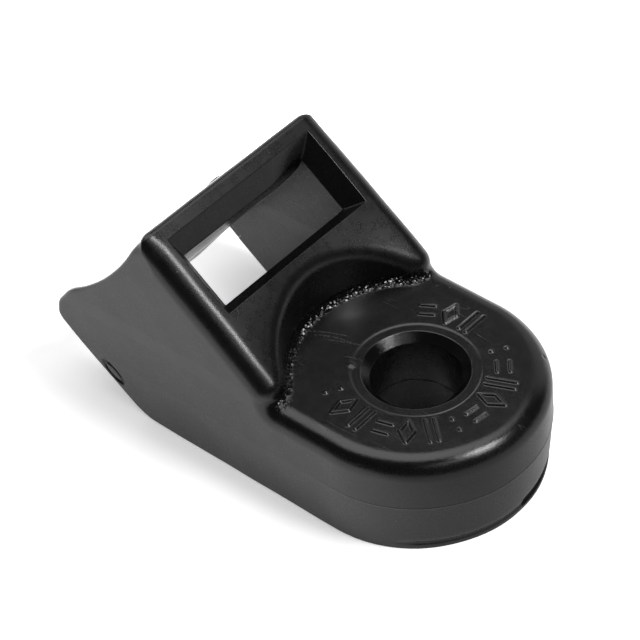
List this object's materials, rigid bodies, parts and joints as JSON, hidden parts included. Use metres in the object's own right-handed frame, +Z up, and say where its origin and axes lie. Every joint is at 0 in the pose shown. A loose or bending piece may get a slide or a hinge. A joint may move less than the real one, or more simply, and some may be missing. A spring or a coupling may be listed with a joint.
{
  "type": "cable tie mount",
  "caption": "Moulded bolt-down cable tie mount: a flat lug with a bolt hole, and a slanted arm with a passage for the tie and a concave saddle for a bundle.",
  "frame": {"origin": "on the bolt hole's axis, at the base face", "axes": "+X towards the lug's round nose, +Y across the part, +Z up out of the base, the way a bolt is taken out"},
  "size_m": [0.0483, 0.026, 0.0241],
  "materials": {
    "black_nylon": "semi-gloss as-moulded nylon, matt inside the passage"
  },
  "bodies": {
    "root": {"mount_body": "black_nylon"}
  },
  "joints": []
}
